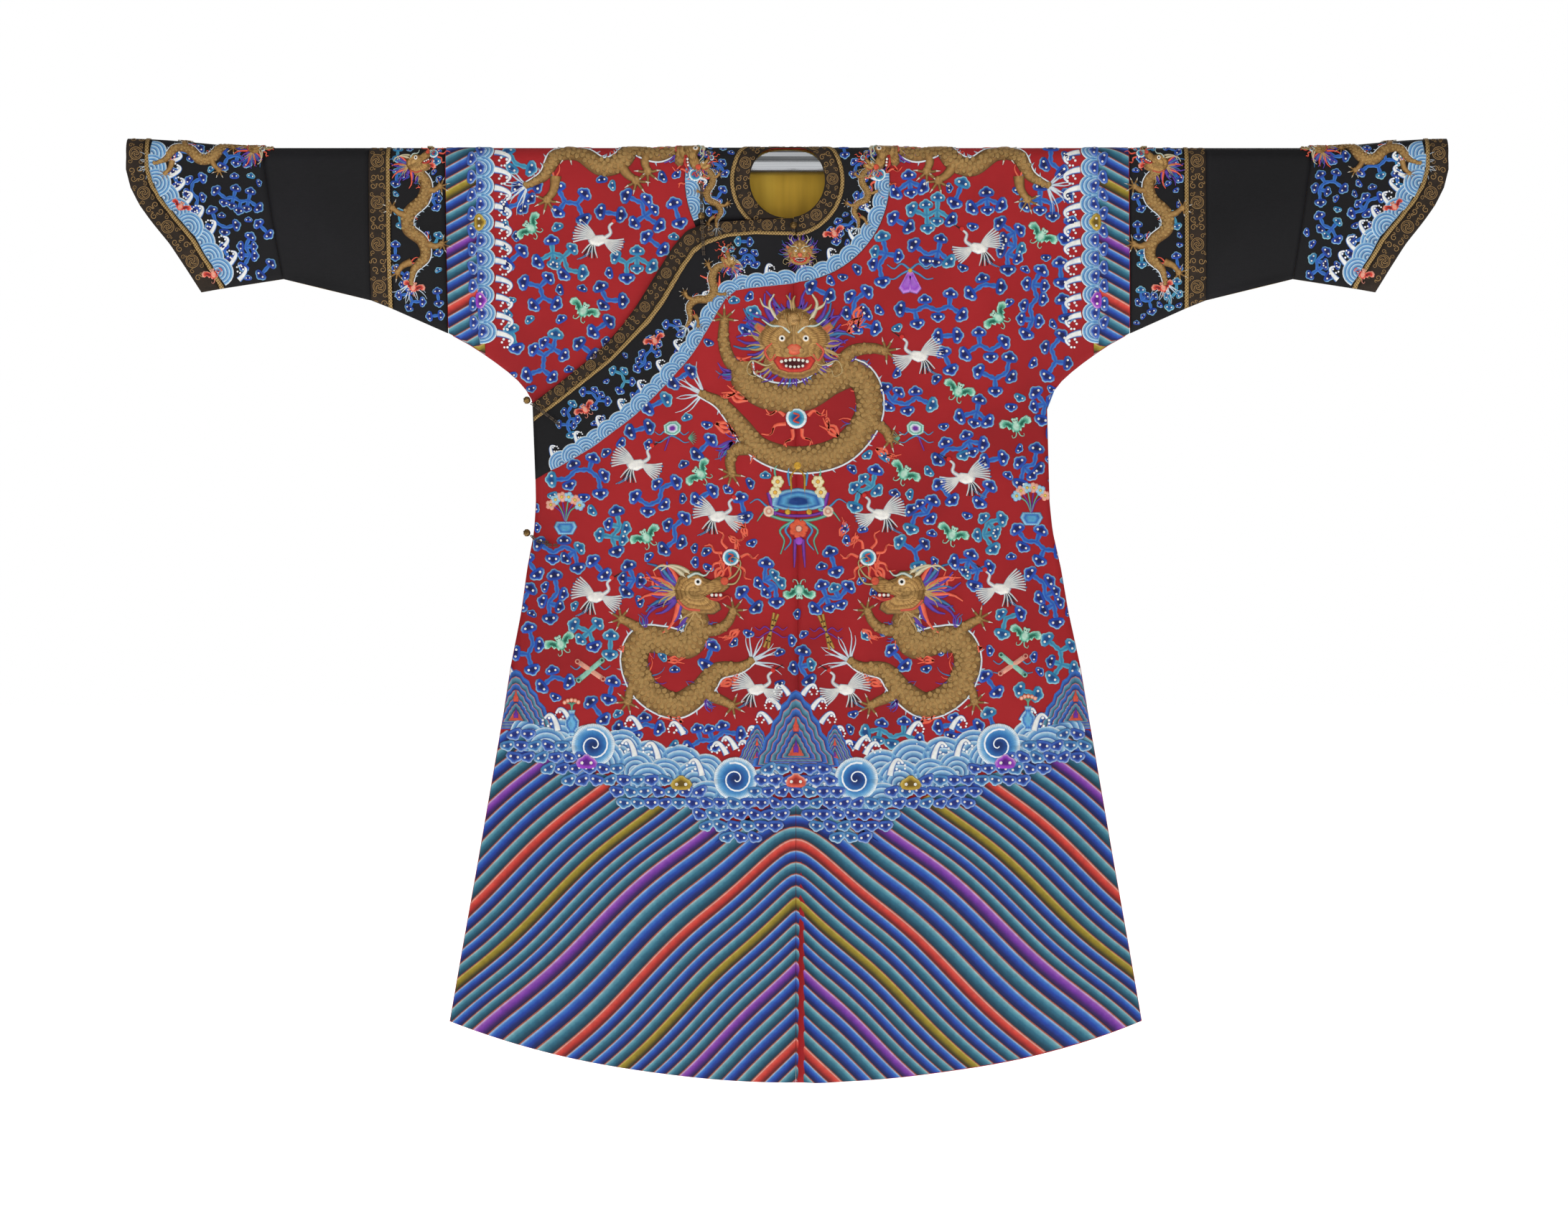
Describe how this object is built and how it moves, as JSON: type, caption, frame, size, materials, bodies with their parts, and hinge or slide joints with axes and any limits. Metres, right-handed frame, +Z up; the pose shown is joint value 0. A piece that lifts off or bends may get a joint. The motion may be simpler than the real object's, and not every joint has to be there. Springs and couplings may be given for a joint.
{
  "type": "dragon robe on a hanging rod",
  "caption": "Long red silk robe with wide black-cuffed sleeves, embroidered all over with dragons, clouds and waves, hung through its sleeves on a round rod.",
  "frame": {"origin": "middle of the rod, under the neck of the robe, where the rod holds it up", "axes": "+X along the rod and the sleeves, to the right as seen from the front; -Y out of the front of the robe; +Z up"},
  "size_m": [1.971, 0.0647, 1.4114],
  "materials": {
    "polished_metal": "polished",
    "red_satin": "satin weave",
    "black_satin": "satin weave",
    "brocade": "dark silk with gold thread scrolls",
    "gold_braid": "woven metal thread",
    "yellow_silk": "plain silk",
    "aged_brass": "dull and worn"
  },
  "bodies": {
    "root": {"rod": "polished_metal", "under_front": "red_satin", "front_right": "red_satin", "front_overlap": "red_satin", "back_left": "red_satin", "back_right": "red_satin", "yoke_under": "black_satin", "yoke_front": "black_satin", "yoke_overlap": "black_satin", "yoke_back": "black_satin", "neck_band": "brocade", "neck_braid": "gold_braid", "neck_lining": "yellow_silk", "closing_band": "brocade", "closing_braid": "gold_braid", "sleeve_band_left": "black_satin", "sleeve_braid_left": "gold_braid", "sleeve_brocade_left": "brocade", "lower_sleeve_left": "black_satin", "cuff_left": "black_satin", "cuff_braid_left": "gold_braid", "cuff_brocade_left": "brocade", "sleeve_band_right": "black_satin", "sleeve_braid_right": "gold_braid", "sleeve_brocade_right": "brocade", "lower_sleeve_right": "black_satin", "cuff_right": "black_satin", "cuff_braid_right": "gold_braid", "cuff_brocade_right": "brocade", "loop_neck": "brocade", "button_neck": "aged_brass", "loop_chest": "brocade", "button_chest": "aged_brass", "loop_underarm": "brocade", "button_underarm": "aged_brass", "loop_side": "brocade", "button_side": "aged_brass", "button_strap_chest": "brocade"}
  },
  "joints": []
}
